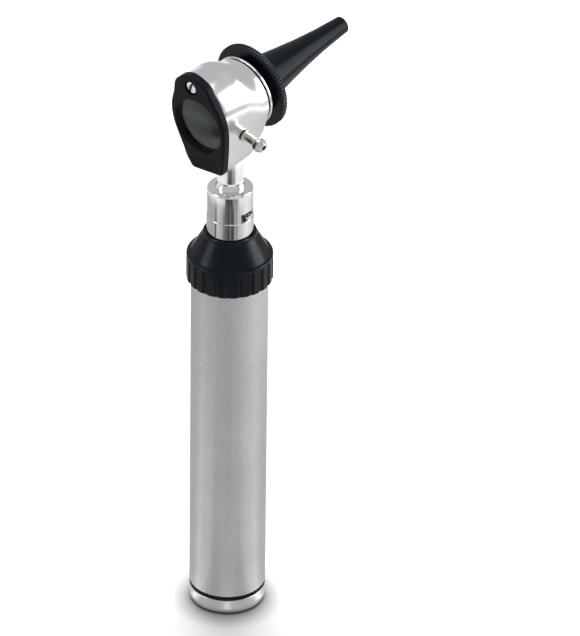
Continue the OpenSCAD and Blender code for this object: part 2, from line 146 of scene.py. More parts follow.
def build(name, verts, faces, place, angle=32, flat_faces=0):
    """A mesh object from points in mm, in the frame given by place. The first flat_faces faces stay faceted."""
    mesh = bpy.data.meshes.new(name)
    mesh.from_pydata([tuple((place @ Vector(v)) * MM) for v in verts], [], faces)
    mesh.update()
    bm = bmesh.new()
    bm.from_mesh(mesh)
    bmesh.ops.recalc_face_normals(bm, faces=bm.faces)
    bm.to_mesh(mesh)
    bm.free()
    mesh.shade_smooth()
    mesh.set_sharp_from_angle(angle=math.radians(angle))
    if flat_faces:
        flags = [k >= flat_faces for k in range(len(mesh.polygons))]
        mesh.polygons.foreach_set("use_smooth", flags)
    return add_object(name, mesh)


def lathe(name, profile, place, angles=None, trim=None):
    """A solid of revolution about +Z of a closed (radius, height) profile.

    trim(radius, height, turn) may draw a point in.
    """
    angles = angles or even(128)
    n = len(angles)
    verts, rings = [], []
    for r, z in profile:
        if r < 1e-6:
            rings.append([len(verts)] * n)
            verts.append((0, 0, z))
            continue
        ring = []
        for a in angles:
            q = trim(r, z, a) if trim else r
            ring.append(len(verts))
            verts.append((q * math.cos(a), q * math.sin(a), z))
        rings.append(ring)
    faces = []
    for k, lower in enumerate(rings):
        upper = rings[(k + 1) % len(rings)]
        if lower[0] == lower[1] and upper[0] == upper[1]:
            continue
        for s in range(n):
            t = (s + 1) % n
            quad = [lower[s], lower[t], upper[t], upper[s]]
            face = [v for i, v in enumerate(quad) if v != quad[i - 1]]
            faces.append(face)
    return build(name, verts, faces, place)


def skin(name, rings, place, angle):
    """A closed skin over rings of equally many points, the last ring joined to the first."""
    n = len(rings[0])
    verts = [p for ring in rings for p in ring]
    faces = []
    for k in range(len(rings)):
        m = (k + 1) % len(rings)
        for s in range(n):
            t = (s + 1) % n
            faces.append([k * n + s, k * n + t, m * n + t, m * n + s])
    return build(name, verts, faces, place, angle=angle)


def quarter(steps=5):
    """(sine, cosine) along a quarter turn, for the fillet of a skin."""
    turns = [math.pi / 2 * k / steps for k in range(steps + 1)]
    return [(math.sin(a), math.cos(a)) for a in turns]


def sector(r0, r1, z0, z1, a0, a1, place):
    """A cutter: part of a ring between two turns, in degrees."""
    steps = max(2, int(abs(a1 - a0) / 3))
    verts, faces = [], []
    for k in range(steps + 1):
        a = math.radians(a0 + (a1 - a0) * k / steps)
        for r, z in ((r0, z0), (r1, z0), (r1, z1), (r0, z1)):
            verts.append((r * math.cos(a), r * math.sin(a), z))
    for k in range(steps):
        for i in range(4):
            j = (i + 1) % 4
            faces.append([4 * k + i, 4 * k + j, 4 * k + 4 + j, 4 * k + 4 + i])
    faces.append([0, 1, 2, 3])
    faces.append([4 * steps + i for i in (3, 2, 1, 0)])
    return build("cutter", verts, faces, place)


def block(x0, x1, y0, y1, z0, z1, place):
    """A cutter: a straight box."""
    verts = [(x, y, z) for x in (x0, x1) for y in (y0, y1) for z in (z0, z1)]
    faces = [[0, 1, 3, 2], [4, 6, 7, 5], [0, 4, 5, 1], [2, 3, 7, 6], [0, 2, 6, 4], [1, 5, 7, 3]]
    return build("cutter", verts, faces, place)


def peg(r, z0, z1, place, count=64):
    """A cutter: a round pin along +Z."""
    return lathe("cutter", [(0, z0), (r, z0), (r, z1), (0, z1)], place, even(count))


def carve(obj, cutters, angle=32, edge=0.0):
    """Takes the cutters out of obj. edge rounds every sharp edge of the result by that many mm."""
    for cutter in cutters:
        mod = obj.modifiers.new("cut", "BOOLEAN")
        mod.operation = "DIFFERENCE"
        mod.solver = "EXACT"
        mod.object = cutter
    if edge:
        mod = obj.modifiers.new("edge", "BEVEL")
        mod.width = edge * MM
        mod.segments = 2
        mod.limit_method = "ANGLE"
        mod.angle_limit = math.radians(40)
        mod.use_clamp_overlap = True
    graph = bpy.context.evaluated_depsgraph_get()
    made = bpy.data.meshes.new_from_object(obj.evaluated_get(graph))
    made.name = obj.name
    obj.modifiers.clear()
    obj.data = made
    made.shade_smooth()
    made.set_sharp_from_angle(angle=math.radians(angle))
    for cutter in cutters:
        bpy.data.objects.remove(cutter)
    return obj


# ---------- finishes ----------


def add(tree, kind, inputs=None, **props):
    """A shader node with its settings and its inputs, which may be values or other sockets."""
    made = tree.nodes.new(kind)
    for key, value in props.items():
        setattr(made, key, value)
    for key, value in (inputs or {}).items():
        if isinstance(value, bpy.types.NodeSocket):
            tree.links.new(value, made.inputs[key])
        else:
            made.inputs[key].default_value = value
    return made


def noise(tree, where, scale, detail=4.0, rough=0.55):
    grain = {"Vector": where, "Scale": scale, "Detail": detail, "Roughness": rough}
    return add(tree, "ShaderNodeTexNoise", grain).outputs["Fac"]


def span(tree, value, low, high, to_low=0.0, to_high=1.0):
    """Maps value from the range low to high onto to_low to to_high."""
    ends = {"Value": value, "From Min": low, "From Max": high, "To Min": to_low, "To Max": to_high}
    return add(tree, "ShaderNodeMapRange", ends).outputs["Result"]


def math_node(tree, operation, a, b=0.0):
    made = add(tree, "ShaderNodeMath", operation=operation)
    for i, value in enumerate((a, b)):
        if isinstance(value, bpy.types.NodeSocket):
            tree.links.new(value, made.inputs[i])
        else:
            made.inputs[i].default_value = value
    return made.outputs[0]


MIX_FACTOR, MIX_A, MIX_B = 0, 6, 7
MIX_COLOUR = 2


def mix(tree, fac, a, b):
    """Colour between a and b."""
    made = add(tree, "ShaderNodeMix", data_type="RGBA")
    for key, value in ((MIX_FACTOR, fac), (MIX_A, a), (MIX_B, b)):
        if isinstance(value, bpy.types.NodeSocket):
            tree.links.new(value, made.inputs[key])
        else:
            made.inputs[key].default_value = value if key == MIX_FACTOR else (*value, 1.0)
    return made.outputs[MIX_COLOUR]


COOL_SHEEN = (0.82, 0.93, 1.0, 1.0)


def finish(
    name,
    dark,
    light,
    metallic=0.0,
    rough=(0.3, 0.4),
    patch=60.0,
    grain=900.0,
    bump=0.02,
    lines=0.0,
    wear=0.0,
    worn=(0.6, 0.6, 0.6),
    painted_hollow_shade=None,
    stretch=(1.0, 1.0, 1.0),
    shine=0.5,
):
    """A finish with patches of colour and gloss, a fine grain, turned lines round Z, worn edges and painted shade
    in hollows near the Z axis.

    patch, grain and lines are counted per metre; bump, wear and the radii of the painted hollow shade are in mm.
    """
    made = bpy.data.materials.new(name)
    made.use_nodes = True
    tree = made.node_tree
    shader = tree.nodes["Principled BSDF"]
    where = add(tree, "ShaderNodeTexCoord").outputs["Object"]
    stretched = add(tree, "ShaderNodeMapping", {"Vector": where, "Scale": stretch}).outputs[0]
    patches = noise(tree, where, patch)
    fine = noise(tree, stretched, grain, 3.0, 0.6)
    smear = noise(tree, stretched, patch * 5, 5.0, 0.65)
    shade = span(tree, patches, 0.32, 0.68)
    colour = mix(tree, shade, dark, light)
    gloss = span(tree, smear, 0.3, 0.7, rough[0], rough[1])
    # painted shade: faces nearer the Z axis than high grow darker, reaching the tint nearer than low
    if painted_hollow_shade:
        low, high, tint = painted_hollow_shade
        flat = add(tree, "ShaderNodeVectorMath", {0: where, 1: (1.0, 1.0, 0.0)}, operation="MULTIPLY").outputs[0]
        away = add(tree, "ShaderNodeVectorMath", {0: flat}, operation="LENGTH").outputs["Value"]
        colour = mix(tree, span(tree, away, low * MM, high * MM), tint, colour)
    if wear:
        soft = add(tree, "ShaderNodeBevel", {"Radius": wear * MM}, samples=4).outputs[0]
        hard = add(tree, "ShaderNodeNewGeometry").outputs["Normal"]
        edge = add(tree, "ShaderNodeVectorMath", {0: soft, 1: hard}, operation="DOT_PRODUCT").outputs["Value"]
        rubbed = span(tree, edge, 0.985, 0.9)
        rubbed = math_node(tree, "MULTIPLY", rubbed, span(tree, smear, 0.35, 0.7, 0.15, 1.0))
        colour = mix(tree, rubbed, colour, worn)
    height = fine
    if lines:
        parts = add(tree, "ShaderNodeSeparateXYZ", {"Vector": where})
        wobble = math_node(tree, "ADD", parts.outputs["Z"], math_node(tree, "MULTIPLY", patches, 0.0004))
        ripple = math_node(tree, "SINE", math_node(tree, "MULTIPLY", wobble, lines))
        height = math_node(tree, "ADD", math_node(tree, "MULTIPLY", ripple, 0.5), fine)
    relief = add(tree, "ShaderNodeBump", {"Height": height, "Strength": 1.0, "Distance": bump * MM}).outputs[0]
    tree.links.new(colour, shader.inputs["Base Color"])
    tree.links.new(gloss, shader.inputs["Roughness"])
    tree.links.new(relief, shader.inputs["Normal"])
    shader.inputs["Metallic"].default_value = metallic
    shader.inputs["Specular IOR Level"].default_value = shine
    if not metallic:
        shader.inputs["Specular Tint"].default_value = COOL_SHEEN
    return made


def glass(name, tint, rough, through=1.0, ior=1.5):
    made = finish(name, tint, [0.92 * c for c in tint], rough=(rough, rough + 0.03), bump=0.0005)
    shader = made.node_tree.nodes["Principled BSDF"]
    shader.inputs["Transmission Weight"].default_value = through
    shader.inputs["IOR"].default_value = ior
    return made


CHROME = finish("chrome", (0.80, 0.80, 0.81), (0.86, 0.86, 0.865), 1.0, (0.035, 0.09), 45, 2500, 0.0006)
CHROME_BODY = finish(
    "chrome_body", (0.80, 0.80, 0.805), (0.87, 0.87, 0.87),
    1.0, (0.15, 0.23), 30, 1600, 0.0012,
)
# a dark chrome for faces in hollows, the collar's spigot behind the notch and the screw's slot: painted shade
PAINTED_SHADE_CHROME = finish("chrome_painted_shade", (0.05, 0.05, 0.055), (0.09, 0.09, 0.095), 1.0, (0.22, 0.36), 90, 2200, 0.003)
# the knurl's valleys, its chamfers and the bore take a darker tint: painted shade
KNURLED = finish(
    "satin_knurled", (0.60, 0.605, 0.60), (0.68, 0.685, 0.675), 1.0, (0.30, 0.42), 70, 1400, 0.006,
    painted_hollow_shade=(14.15, 14.22, (0.40, 0.41, 0.40)),
)
TURNED = finish(
    "satin_turned", (0.60, 0.61, 0.60), (0.68, 0.69, 0.68),
    1.0, (0.26, 0.36), 80, 1500, 0.004, lines=9000,
)
RUBBER = finish(
    "rubber", (0.0045, 0.0055, 0.007), (0.009, 0.0105, 0.013),
    0.0, (0.5, 0.7), 120, 2600, 0.012, shine=0.12,
)
PLASTIC = finish(
    "black_plastic", (0.0022, 0.0032, 0.005), (0.004, 0.0055, 0.008), 0.0, (0.22, 0.34), 50, 1800, 0.004,
    wear=0.25, worn=(0.022, 0.025, 0.03), shine=0.2,
)
SPECULA = finish(
    "black_gloss_plastic", (0.0032, 0.0042, 0.0062), (0.0055, 0.007, 0.0095),
    0.0, (0.18, 0.28), 60, 1700, 0.003, shine=0.09,
)
PAINT = finish(
    "black_paint", (0.0035, 0.0045, 0.0065), (0.0062, 0.0078, 0.0105), 0.0, (0.28, 0.42), 70, 1300, 0.008,
    wear=0.3, worn=(0.026, 0.030, 0.036), shine=0.09,
)
BRASS = finish(
    "brass", (0.62, 0.44, 0.17), (0.78, 0.60, 0.28),
    1.0, (0.2, 0.38), 120, 1800, 0.004, lines=14000,
)
COPPER = finish("copper", (0.60, 0.30, 0.17), (0.74, 0.42, 0.26), 1.0, (0.25, 0.4), 150, 1800, 0.004)
SPRING = finish("spring_steel", (0.42, 0.42, 0.43), (0.58, 0.58, 0.59), 1.0, (0.22, 0.36), 200, 2400, 0.004)
BLACKENED = finish(
    "blackened_steel", (0.012, 0.012, 0.014), (0.03, 0.03, 0.033),
    0.6, (0.35, 0.5), 160, 2400, 0.004,
)
TINNED = finish("tinned_steel", (0.50, 0.49, 0.45), (0.66, 0.65, 0.60), 1.0, (0.25, 0.4), 160, 2000, 0.004)
BOARD = finish(
    "insulator", (0.16, 0.085, 0.04), (0.25, 0.14, 0.07),
    0.0, (0.4, 0.6), 200, 1500, 0.01, stretch=(1, 8, 1),
)
NYLON = finish("nylon", (0.70, 0.67, 0.58), (0.78, 0.755, 0.68), 0.0, (0.35, 0.5), 90, 1600, 0.005)
TRACK = finish(
    "resistance_track", (0.035, 0.028, 0.024), (0.07, 0.055, 0.045),
    0.2, (0.35, 0.55), 260, 2600, 0.01,
)
WRAP = finish(
    "cell_wrap", (0.035, 0.055, 0.12), (0.06, 0.085, 0.17),
    0.1, (0.22, 0.35), 40, 1200, 0.003, lines=900,
)
NICKEL = finish("nickel", (0.60, 0.58, 0.54), (0.74, 0.72, 0.67), 1.0, (0.10, 0.22), 120, 2200, 0.0015)
LENS = glass("lens_glass", (0.17, 0.18, 0.175), 0.12)
LAMP = glass("lamp_glass", (0.96, 0.97, 0.98), 0.01)
LIGHT_PIPE = glass("light_pipe", (0.84, 0.88, 0.82), 0.12, 0.6, 1.49)

KEPT = {
    "tail_seal": RUBBER,
    "spring_cup": BRASS,
    "tail_spring": SPRING,
    "cell_lower": WRAP,
    "cell_upper": WRAP,
    "cell_contact": BRASS,
    "contact_board": BOARD,
    "feed_rod": COPPER,
    "plunger_seat": BRASS,
    "plunger_spring": SPRING,
    "contact_plunger": BRASS,
    "plunger_bush": NYLON,
    "dimmer_track": TRACK,
    "dimmer_wiper": BRASS,
    "ring_clip": BLACKENED,
    "bayonet_pins": SPRING,
    "lamp_base": TINNED,
    "lamp_glass": LAMP,
    "lamp_contact": TINNED,
    "nose_shell": PLASTIC,
    "fibre_sleeve": LIGHT_PIPE,
    "light_guide": LIGHT_PIPE,
    "specula_pins": SPRING,
    "rear_gasket": RUBBER,
    "pivot_bush": BRASS,
    "spring_washer": SPRING,
    "lens_retainer": RUBBER,
    "nipple_seal": RUBBER,
}


def body_of(node):
    for body, members in frame["record"]["behaviour"]["bodies"].items():
        if node in members:
            return body


def settle(obj, node, material, inner=None, facets=False):
    """The piece stands for a CAD node: same body, with this finish.

    inner is a second finish, used for the painted shade of hollows, and a test of a face's centre that says where
    it goes.
    """
    obj.data.materials.clear()
    obj.data.materials.append(material)
    if not facets:
        even_out = obj.modifiers.new("even_normals", "WEIGHTED_NORMAL")
        even_out.keep_sharp = True
        even_out.weight = 100
    if inner:
        obj.data.materials.append(inner[0])
        for face in obj.data.polygons:
            face.material_index = int(inner[1](face.center / MM))
    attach(obj, body_of(node))
    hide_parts(node)
    return obj


for node_name, material in KEPT.items():
    kept = CAD[node_name]
    kept.data.materials.clear()
    kept.data.materials.append(material)


# ---------- handle ----------

settle(
    lathe(
        "tail_cap_turned",
        rounded([
            (0, 0, 0), (TUBE_R, 0, 1.8), (TUBE_R, Z_SEAL, 0.3), (BORE_R - 0.05, Z_SEAL, 0),
            (BORE_R - 0.05, Z_TUBE + 6, 0.4), (BORE_R - 1.6, Z_TUBE + 6, 0.3), (BORE_R - 1.6, 4.2, 0.2),
            (10.4, 4.2, 0.1), (10.4, 2.9, 0), (0, 2.9, 0),
        ]),
        HANDLE,
    ),
    "tail_cap", TURNED,
)


KNURL_COLUMNS = 156
KNURL_ROW = 0.8
KNURL_DEPTH = 0.085


def knurled_tube():
    """The battery tube: pyramids of a diamond knurl cut into the outside, the rest turned smooth."""
    top = level("battery_tube", 1)
    z0, z1 = Z_TUBE + 0.45, Z_RING + 1.2
    rows = int(round((z1 - z0) / KNURL_ROW))
    angles = even(KNURL_COLUMNS)
    verts, faces = [], []

    def ring(radius, z):
        first = len(verts)
        for k, a in enumerate(angles):
            r = radius(k) if callable(radius) else radius
            verts.append((r * math.cos(a), r * math.sin(a), z))
        return [first + k for k in range(KNURL_COLUMNS)]

    cut = [
        ring(lambda k, j=j: TUBE_R - (0.0 if (k + j) % 2 else KNURL_DEPTH), z0 + (z1 - z0) * j / rows)
        for j in range(rows + 1)
    ]
    for j in range(rows):
        for k in range(KNURL_COLUMNS):
            a, b = cut[j][k], cut[j][(k + 1) % KNURL_COLUMNS]
            c, d = cut[j + 1][(k + 1) % KNURL_COLUMNS], cut[j + 1][k]
            faces += [[a, b, c], [a, c, d]] if (k + j) % 2 == 0 else [[a, b, d], [b, c, d]]
    facets = len(faces)
    smooth = [
        cut[-1], ring(TUBE_R, z1 + 0.3), ring(TUBE_R, top - 0.3), ring(TUBE_R - 0.3, top),
        ring(BORE_R, top), ring(BORE_R, Z_TUBE), ring(TUBE_R - 0.2, Z_TUBE), ring(TUBE_R, Z_TUBE + 0.2), cut[0],
    ]
    for lower, upper in zip(smooth, smooth[1:]):
        for k in range(KNURL_COLUMNS):
            t = (k + 1) % KNURL_COLUMNS
            faces.append([lower[k], lower[t], upper[t], upper[k]])
    return build("battery_tube_knurled", verts, faces, HANDLE, flat_faces=facets)


settle(knurled_tube(), "battery_tube", KNURLED, facets=True)

RING_R = 15.9
FLUTES = 22
FLUTE_CUT_R = 1.3
FLUTE_CENTRE = 16.45
FLUTE_TOP = 9.7
FLUTE_EDGE = 1.179
FLUTE_ROOT_R = 14.8


def fluted(r, z, a):
    """Radius of the brightness ring, drawn in where a flute passes."""
    if z - Z_RING > FLUTE_TOP or r < FLUTE_ROOT_R:
        return r
    pitch = 2 * math.pi / FLUTES
    off = (a + pitch / 2) % pitch - pitch / 2
    side = FLUTE_CENTRE * math.sin(off)
    if abs(side) >= FLUTE_CUT_R:
        return r
    return min(r, FLUTE_CENTRE * math.cos(off) - math.sqrt(FLUTE_CUT_R**2 - side**2))


def flute_angles():
    """Turns that put points on the flutes' floors and edges and on the ribs between."""
    pitch = 360 / FLUTES
    edge = math.degrees(math.asin(FLUTE_EDGE / RING_R))
    offs = [part * edge for part in (-1, -0.86, -0.6, -0.3, 0, 0.3, 0.6, 0.86, 1)]
    offs += [edge + 1, pitch / 2, pitch - edge - 1]
    return [math.radians(k * pitch + o) for k in range(FLUTES) for o in offs]


settle(
    lathe(
        "brightness_ring_fluted",
        [(r, z + Z_RING) for r, z in rounded([
            (14.31, 0, 0.2), (RING_R, 0, 0.55), (RING_R, FLUTE_TOP - 0.01, 0), (RING_R, FLUTE_TOP + 0.02, 0),
            (RING_R, 11, 0.6), (14.7, 11.05, 0.25), (9.95, 19.3, 0.8), (9.85, 20.1, 0.3), (9.3, 20.1, 0.2),
            (9.3, 18.4, 0.1), (8.72, 18.4, 0.1), (8.72, 12.5, 0), (10, 12.5, 0), (13.9, 9, 0), (13.9, 6.6, 0),
            (14.31, 6.6, 0),
        ])],
        HANDLE, flute_angles(), fluted,
    ),
    "brightness_ring", PLASTIC,
)

SPIGOT_H = 7


def on_spigot(point):
    """The part of the collar inside the socket, which only the notch shows; it takes the dark chrome of painted
    shade.
    """
    return math.hypot(point.x, point.y) < 8 and point.z > Z_SOCKET


settle(
    lathe(
        "handle_collar_chromed",
        rounded([
            (4.6, Z_RING - 3.5, 0), (BORE_R - 0.02, Z_RING - 3.5, 0.2), (BORE_R - 0.02, Z_RING + 4.5, 0.2),
            (8.2, Z_RING + 4.5, 0.3), (8.2, Z_COLLAR, 0), (8.65, Z_COLLAR, 0.15),
            (8.65, Z_SOCKET - 0.01, 0.22), (6.75, Z_SOCKET - 0.01, 0), (6.75, Z_SOCKET + SPIGOT_H, 0.3),
            (4.6, Z_SOCKET + SPIGOT_H, 0.2),
        ]),
        HANDLE,
    ),
    "handle_collar", CHROME, (PAINTED_SHADE_CHROME, on_spigot),
)


# ---------- head: socket, stem and body ----------

socket_cuts = []
for turn in (SLOT_HEADING, SLOT_HEADING + 180):
    socket_cuts.append(sector(5.7, 10, Z_SOCKET - 1, PIN_Z + 1, turn - 11, turn + 11, HANDLE))
    socket_cuts.append(sector(5.6, 10.1, PIN_Z - 1, PIN_Z + 1.01, turn + 8, turn + 47, HANDLE))
settle(
    carve(
        lathe(
            "head_socket_chromed",
            rounded([
                (6.81, Z_SOCKET + 0.02, 0.12), (8.45, Z_SOCKET + 0.02, 0.2),
                (8.45, Z_STEM, 0.7), (4.42, Z_STEM, 0.1), (4.42, Z_SOCKET + 7.8, 0), (6.81, Z_SOCKET + 7.8, 0),
            ], 8),
            HANDLE,
        ),
        socket_cuts, edge=0.09,
    ),
    "head_socket", CHROME,
)

settle(
    lathe(
        "head_stem_chromed",
        rounded([
            (3.4, Z_STEM - 2.6, 0), (4.4, Z_STEM - 2.6, 0.2), (4.4, Z_STEM, 0), (5.6, Z_STEM, 0.1),
            (5.6, Z_STEM + 0.5, 0.25), (4.85, Z_STEM + 2.6, 4), (4.85, HEAD_Z - 19, 0.1), (2, HEAD_Z - 19, 0),
            (2, HEAD_Z - 24, 0), (3.4, HEAD_Z - 24, 0),
        ], 7),
        HANDLE,
    ),
    "head_stem", CHROME,
)


def ease(t):
    """Smooth step from 0 to 1."""
    t = min(1.0, max(0.0, t))
    return t * t * (3 - 2 * t)


WAIST_Y = -6


def body_circles(y):
    """Circles (x, z, radius) whose hull is the casting's section at depth y."""
    t = (y - BODY_BACK) / (BODY_FRONT - BODY_BACK)
    near = min(1.0, max(0.0, (y - BODY_BACK) / (WAIST_Y - BODY_BACK)))
    z = 5.6 - near if y < WAIST_Y else 4.6 * (1 - ease((y - WAIST_Y) / 11))
    r = 12.6 + 1.0 * math.sin(min(1.0, t * 1.25) * math.pi / 2)
    crown = (0, 11.7 - 3.1 * near, 8.25 + 1.2 * near) if y < WAIST_Y else (0, z + 4.0, r - 4.0)
    low = ease((y + 1.5) / 7.5)
    x, foot, foot_r = 5 + 0.2 * low, -17.5 + 6.5 * low, 4.6 + 0.4 * low
    return [(0, z, r), crown, (-x, foot, foot_r), (x, foot, foot_r)]


def hull_ring(circles, inset, turns, centre):
    """Points where rays from the centre leave the hull of the circles."""
    points = []
    for a in even(720):
        c, s = math.cos(a), math.sin(a)
        x, z, r = max(circles, key=lambda q: q[0] * c + q[1] * s + q[2])
        points.append((x + (r - inset) * c - centre[0], z + (r - inset) * s - centre[1]))
    polar = sorted((math.atan2(z, x), math.hypot(x, z), x, z) for x, z in points)
    out = []
    for a in turns:
        a = (a + math.pi) % (2 * math.pi) - math.pi
        lo, hi = 0, len(polar)
        while lo < hi:
            mid = (lo + hi) // 2
            if polar[mid][0] < a:
                lo = mid + 1
            else:
                hi = mid
        p, q = polar[lo - 1], polar[lo % len(polar)]
        ex, ez = q[2] - p[2], q[3] - p[3]
        dx, dz = math.cos(a), math.sin(a)
        cross = dx * ez - dz * ex
        reach = (p[2] * ez - p[3] * ex) / cross if abs(cross) > 1e-12 else p[1]
        out.append((centre[0] + dx * reach, centre[1] + dz * reach))
    return out


NOSE_BORE_R = 10.97
SIGHT_BORE_R = 9.2


def body_casting():
    """The hollow head casting: one continuous skin, out over the sides and back through the cavity."""
    turns = even(160, math.pi / 160)
    centre = (0, -1.0)
    rings = []

    def section(y, inset):
        rings.append([(x, y, z) for x, z in hull_ring(body_circles(y), inset, turns, centre)])

    def circle(y, r):
        ring = []
        for a in turns:
            dx, dz = math.cos(a), math.sin(a)
            b = dx * centre[0] + dz * centre[1]
            t = -b + math.sqrt(b * b + r * r - centre[1] ** 2)
            ring.append((centre[0] + t * dx, y, centre[1] + t * dz))
        rings.append(ring)

    back, front, wall, fillet = BODY_BACK, BODY_FRONT, BODY_WALL, BODY_FILLET
    for sine, cosine in quarter():
        section(back + fillet * (1 - sine), fillet * (1 - cosine))
    rings.reverse()
    steps = 26
    for k in range(1, steps):
        section(back + fillet + (front - back - 2 * fillet) * k / steps, 0)
    for sine, cosine in quarter():
        section(front - fillet * (1 - sine), fillet * (1 - cosine))
    circle(front, 11.12)
    circle(front - 0.15, NOSE_BORE_R)
    circle(front - wall, NOSE_BORE_R)
    section(front - wall, wall + 0.7)
    for k in range(9, 0, -1):
        section(back + wall + (front - back - 2 * wall) * k / 10, wall)
    section(back + wall, wall + 0.3)
    circle(back + wall, SIGHT_BORE_R)
    circle(back + 0.2, SIGHT_BORE_R)
    circle(back, SIGHT_BORE_R + 0.2)
    return skin("body_shell_cast", rings, HEAD, 40)


settle(body_casting(), "body_shell", CHROME_BODY)

settle(
    lathe(
        "front_ring_chromed",
        rounded([(11.52, 6.5, 0.1), (13.6, 6.5, 0.25), (13.6, 7.4, 0.35), (11.52, 7.4, 0.2)]),
        SIGHT, even(160),
    ),
    "front_ring", CHROME,
)

settle(
    lathe(
        "nose_holder_moulded",
        rounded([
            (10.05, 2.5, 0), (10.95, 2.5, 0.2), (10.95, 6, 0), (12.8, 6, 0.1), (12.8, 6.5, 0.1),
            (11.5, 6.5, 0), (11.5, 7.4, 0), (10.6, 7.4, 0), (10.6, 9.45, 0.15), (8.3, 9.45, 0),
            (8.3, 14.5, 0.3), (6.6, 14.5, 0.2), (6.6, 5.9, 0), (10.05, 5.9, 0),
        ]),
        SIGHT,
    ),
    "nose_holder", PLASTIC,
)


# ---------- speculum and grip ring ----------

slots = []
for turn in (90, 270):
    slots.append(sector(7.3, 10.3, 8.7, 11.45, turn - 42, turn - 28, SIGHT))
    slots.append(sector(7.2, 10.4, 10.55, 12.35, turn - 40.5, turn + 5.5, SIGHT))
settle(
    carve(
        lathe(
            "speculum_moulded",
            rounded([
                (8.36, 9.8, 0.15), (9.6, 9.8, 0.2), (9.6, 12.8, 0), (11, 12.8, 1.2), (11, 16.4, 1.2),
                (9.3, 16.45, 0.3), (8.5, 17.2, 0.6), (6.75, 27.5, 40), (5.36, 36.7, 60), (4.15, 47.2, 80),
                (3.35, 58.3, 6), (3.3, 59.5, 0.5), (2.3, 59.5, 0.35), (2.25, 58.6, 0.3), (3.1, 47.2, 20),
                (4.3, 36.7, 20), (7.1, 17.2, 3), (8.36, 15, 1),
            ], 6),
            SIGHT, even(144),
        ),
        slots,
    ),
    "speculum", SPECULA,
)


TEETH = 84
TOOTH_H = 0.4
TOOTH_ROOT_R = 15.95


def toothed(r, z, a):
    """Radius of the grip ring, drawn in between the teeth of its knurl."""
    if r < TOOTH_ROOT_R:
        return r
    phase = (a * TEETH / (2 * math.pi)) % 1.0
    return r - TOOTH_H * min(1.0, 1.35 * abs(2 * phase - 1)) * min(1.0, (r - TOOTH_ROOT_R) / 0.3)


grip = settle(
    lathe(
        "grip_ring_knurled",
        rounded([
            (9.62, 9.8, 0.1), (10.8, 9.8, 0), (10.8, 9.7, 0), (15.6, 9.7, 0.3), (16.5, 10.2, 0.35),
            (16.5, 12.3, 0.35), (15.5, 12.8, 0.3), (9.62, 12.8, 0),
        ]),
        SIGHT, even(TEETH * 6), toothed,
    ),
    "grip_ring", PLASTIC,
)
# keeps the ring's dark reflection off the top of the casting
grip.visible_glossy = False


# ---------- swivel frame, lens and screw ----------

LENS_SEAT_R = 11.3
OPENING_R = 10.3
SCREW_R = 2.3
SHANK_R = 1.48
SCREW_TIP = -10.9
SLOT_HALF = 0.45
SLOT_TURN = -69
RECESS_R = 2.85
FRAME_CROWN = (0.0, 21.2)
FRAME_HALF = [
    (3.8, 20.3), (7.9, 17.6), (8.8, 14.6), (9.8, 12), (11.1, 9.5), (12.1, 7), (12.7, 4), (12.8, 1), (12.5, -2),
    (11.8, -5), (10.95, -8.3), (10, -11.6), (9.15, -14.2), (8.35, -16.7), (8, -18.3), (7.2, -19.3),
]


def frame_reach(turns):
    """Distance from the lens centre to the edge of the swivel frame's outline at each turn."""
    loop = [FRAME_CROWN] + FRAME_HALF + [(-x, z) for x, z in FRAME_HALF[::-1]]
    reach = []
    for a in turns:
        dx, dz = math.cos(a), math.sin(a)
        best = 0.0
        for (px, pz), (qx, qz) in zip(loop, loop[1:] + loop[:1]):
            ex, ez = qx - px, qz - pz
            cross = dx * ez - dz * ex
            if abs(cross) < 1e-9:
                continue
            t = (px * ez - pz * ex) / cross
            u = (px * dz - pz * dx) / cross
            if t > 0 and -1e-6 <= u <= 1 + 1e-6:
                best = max(best, t)
        reach.append(best)
    return reach


def lens_frame():
    """The shield-shaped frame: swept from the back to a bevelled face, then down the opening to the lens seat."""
    n = 240
    turns = even(n, math.pi / n)
    reach = frame_reach(turns)
    for _ in range(4):
        reach = [0.25 * reach[k - 1] + 0.5 * r + 0.25 * reach[(k + 1) % n] for k, r in enumerate(reach)]
    rings = []

    def outline(y, inset):
        rings.append([((r - inset) * math.cos(a), y, (r - inset) * math.sin(a)) for a, r in zip(turns, reach)])

    def circle(y, r):
        rings.append([(r * math.cos(a), y, r * math.sin(a)) for a in turns])

    outline(PLATE_IN, 0.25)
    outline(PLATE_IN - 0.25, 0)
    outline(PLATE_OUT + 1.0, 0)
    for sine, cosine in quarter()[1:]:
        outline(PLATE_OUT + 1.0 * (1 - sine), 1.0 * (1 - cosine))
    circle(PLATE_OUT, OPENING_R + 0.95)
    circle(PLATE_OUT + 0.12, OPENING_R + 0.7)
    circle(PLATE_IN - 1.75, OPENING_R + 0.1)
    circle(PLATE_IN - 1.6, OPENING_R)
    circle(PLATE_IN - 1.6, LENS_SEAT_R)
    circle(PLATE_IN, LENS_SEAT_R)
    plate = skin("lens_frame_painted", rings, SWUNG, 30)
    at_pivot = SWUNG_SIGHT @ Matrix.Translation((0, -PIVOT_Z, 0))
    cutters = [
        peg(RECESS_R, PLATE_OUT - 1, PLATE_OUT + 1.8, at_pivot),
        peg(SHANK_R + 0.06, PLATE_OUT - 1, PLATE_IN + 1, at_pivot),
    ]
    across = Matrix.Rotation(math.radians(90), 4, "Y")
    for k in range(3):
        ridge = SWUNG @ Matrix.Translation((-6, PLATE_OUT - 0.02, -14.4 - 1.5 * k)) @ across
        cutters.append(peg(0.32, 0, 12, ridge, 16))
    return carve(plate, cutters, angle=30)


settle(lens_frame(), "lens_frame", PAINT)


def dome(outer, y, sag, steps=14):
    """Profile of a shallow lens face."""
    return [(outer * k / steps, y + sag * (1 - (k / steps) ** 2)) for k in range(steps + 1)]


